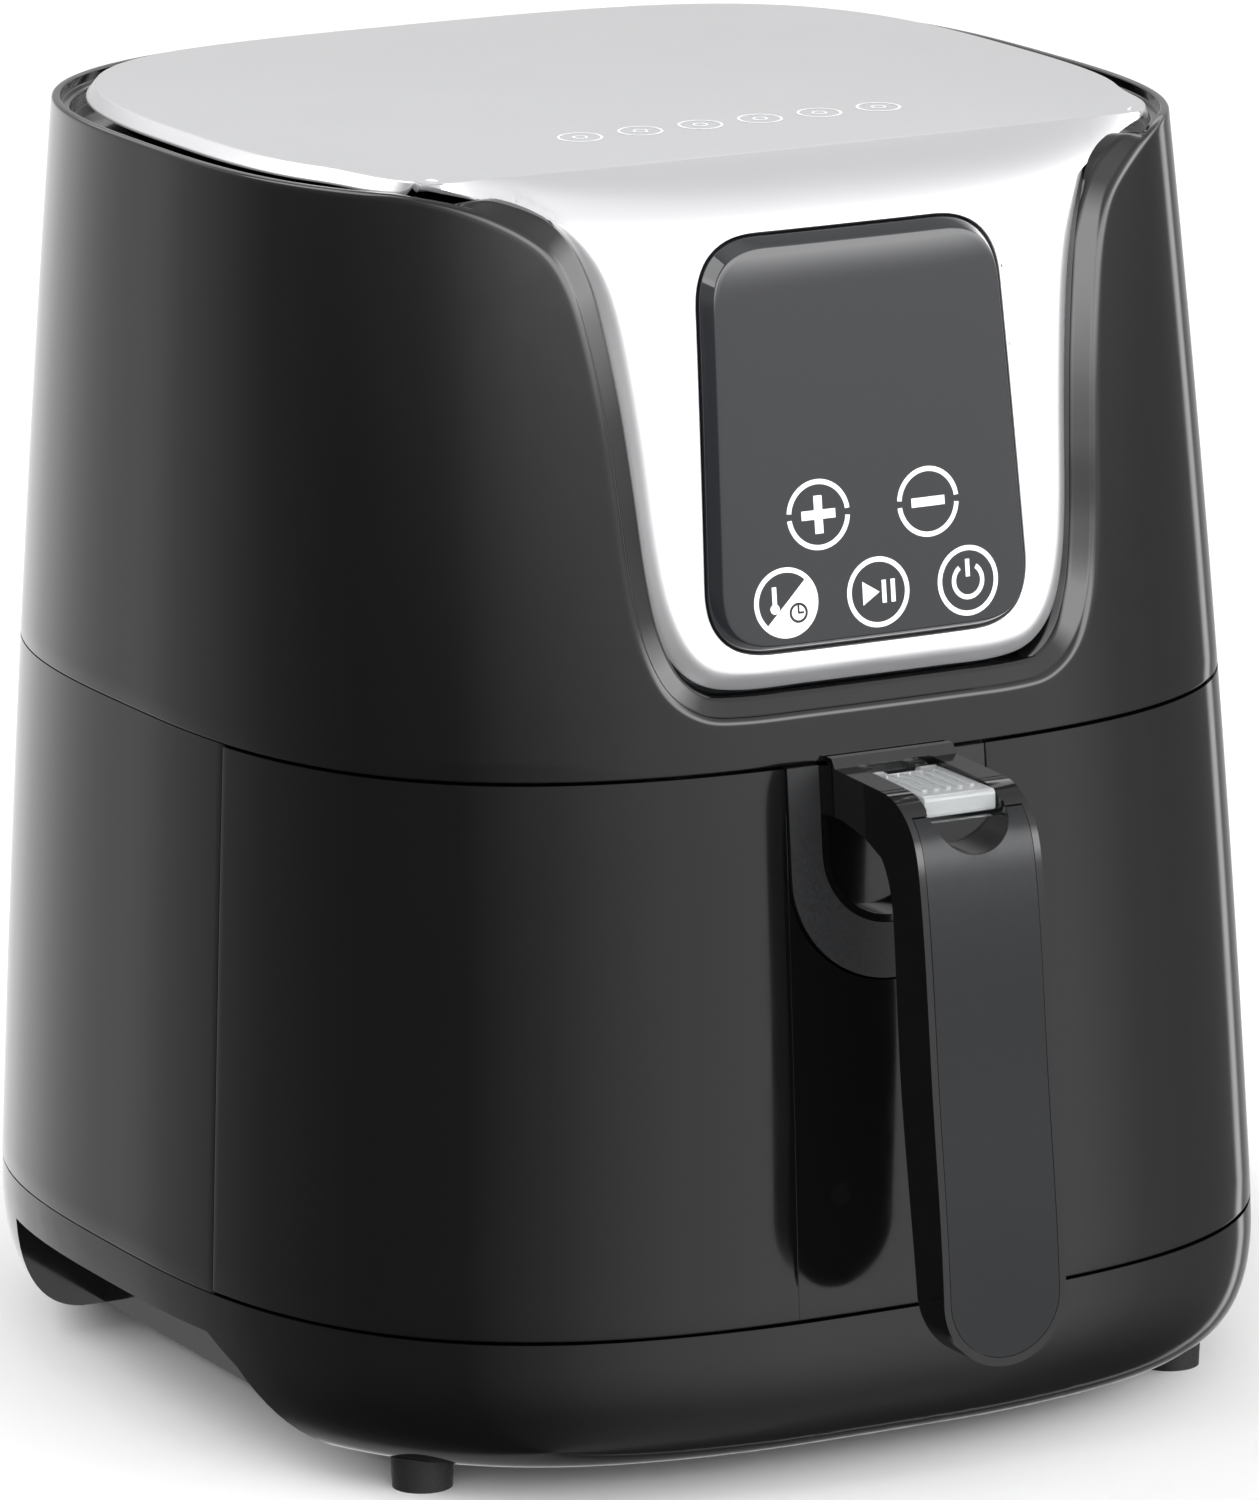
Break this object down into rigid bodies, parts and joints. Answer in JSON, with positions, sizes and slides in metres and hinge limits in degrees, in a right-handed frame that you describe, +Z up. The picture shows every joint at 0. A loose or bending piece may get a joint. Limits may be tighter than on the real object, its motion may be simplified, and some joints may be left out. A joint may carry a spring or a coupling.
{
  "type": "air fryer",
  "caption": "Countertop air fryer with a pull-out drawer, lift-out basket, front handle with flip-up release guard, and a touch panel on a silver fascia.",
  "frame": {"origin": "on the surface the feet stand on, under the middle of the whole outline with its handle", "axes": "+Z up, -Y towards the front, where the drawer and handle are, +X to the right seen from the front"},
  "size_m": [0.2704, 0.3297, 0.3047],
  "materials": {
    "gloss_black": "high-gloss moulded ABS, near black",
    "satin_silver": "satin silver lacquer over moulded plastic",
    "smoked_glass": "smoked tempered glass, black printed behind",
    "black_plastic": "fine-textured black moulded plastic",
    "grip_plate": "satin dark grey lacquered plate",
    "clear_plastic": "clear polycarbonate",
    "nonstick": "non-stick coating on pressed steel, low sheen",
    "zinc_steel": "aluminised sheet steel",
    "bright_steel": "plated steel",
    "element_steel": "oxidised stainless heater tube",
    "cast_aluminium": "pressed aluminium",
    "white_plastic": "heat-resistant cream plastic",
    "circuit_board": "green solder mask on glass-fibre board",
    "copper_winding": "enamelled copper wire",
    "bronze": "sintered bronze",
    "rubber": "black rubber",
    "silicone": "black silicone"
  },
  "bodies": {
    "housing": {"upper_housing": "gloss_black", "lower_housing": "gloss_black", "base": "gloss_black", "base_deck": "black_plastic", "top_panel": "satin_silver", "control_glass": "smoked_glass", "display_tray": "black_plastic", "control_board": "circuit_board", "display_module": "black_plastic", "touch_springs": "bright_steel", "rear_grille": "black_plastic", "exhaust_duct": "zinc_steel", "cord_gland": "rubber", "cooking_chamber": "zinc_steel", "heating_element": "element_steel", "element_clips": "zinc_steel", "element_guard": "bright_steel", "heat_shield": "zinc_steel", "thermal_fuse": "bright_steel", "temperature_sensor": "bright_steel", "motor_frame": "black_plastic", "motor_stator": "zinc_steel", "motor_coil": "copper_winding", "motor_bearings": "bronze", "motor_screws": "bright_steel", "motor_brackets": "zinc_steel", "power_board": "circuit_board", "board_parts": "black_plastic", "interlock_switch": "black_plastic", "drawer_guides": "black_plastic", "base_screws": "bright_steel", "housing_screws": "bright_steel", "rubber_feet": "rubber"},
    "drawer": {"drawer_front": "gloss_black", "drawer_liner": "black_plastic", "liner_screws": "bright_steel", "pan": "nonstick", "pan_catch": "bright_steel", "basket": "nonstick", "crisper_plate": "nonstick", "basket_pads": "silicone", "basket_bracket": "bright_steel", "bracket_rivets": "bright_steel", "handle_plate": "black_plastic", "handle_bracket": "gloss_black", "handle_core": "gloss_black", "handle_face": "grip_plate", "handle_back": "black_plastic", "handle_screws": "bright_steel", "handle_pins": "bright_steel", "button_springs": "bright_steel"},
    "fan_rotor": {"motor_shaft": "bright_steel", "convection_fan": "cast_aluminium", "cooling_fan": "white_plastic", "fan_nut": "bright_steel", "motor_rotor": "zinc_steel"},
    "release_cover": {"release_cover": "clear_plastic"},
    "release_button": {"release_button": "black_plastic"},
    "latch_lever": {"latch_lever": "white_plastic"},
    "interlock_plunger": {"interlock_plunger": "white_plastic"}
  },
  "joints": [
    {"name": "drawer_slide", "type": "slide", "parent": "housing", "child": "drawer", "axis": [0, -1, 0], "range_m": [0, 0.235]},
    {"name": "cover_hinge", "type": "hinge", "parent": "drawer", "child": "release_cover", "pos_m": [0, -0.11745, 0.1649], "axis": [-1, 0, 0], "range_deg": [0, 90]},
    {"name": "button_press", "type": "slide", "parent": "drawer", "child": "release_button", "axis": [0, 0, -1], "range_m": [0, 0.002], "stiffness_N_per_m": 300, "deforming": ["button_springs"]},
    {"name": "latch_turn", "type": "hinge", "parent": "drawer", "child": "latch_lever", "pos_m": [0, -0.13395, 0.1584], "axis": [-1, 0, 0], "range_deg": [0, 10]},
    {"name": "fan_spin", "type": "hinge", "parent": "housing", "child": "fan_rotor", "pos_m": [0, 0.02355, 0.2], "axis": [0, 0, 1], "continuous": true},
    {"name": "interlock_travel", "type": "slide", "parent": "housing", "child": "interlock_plunger", "axis": [0, 1, 0], "range_m": [0, 0.0004], "stiffness_N_per_m": 200}
  ],
  "couplings": [
    {"joint": "latch_turn", "follows": "button_press", "rad_per_m": 87}
  ]
}
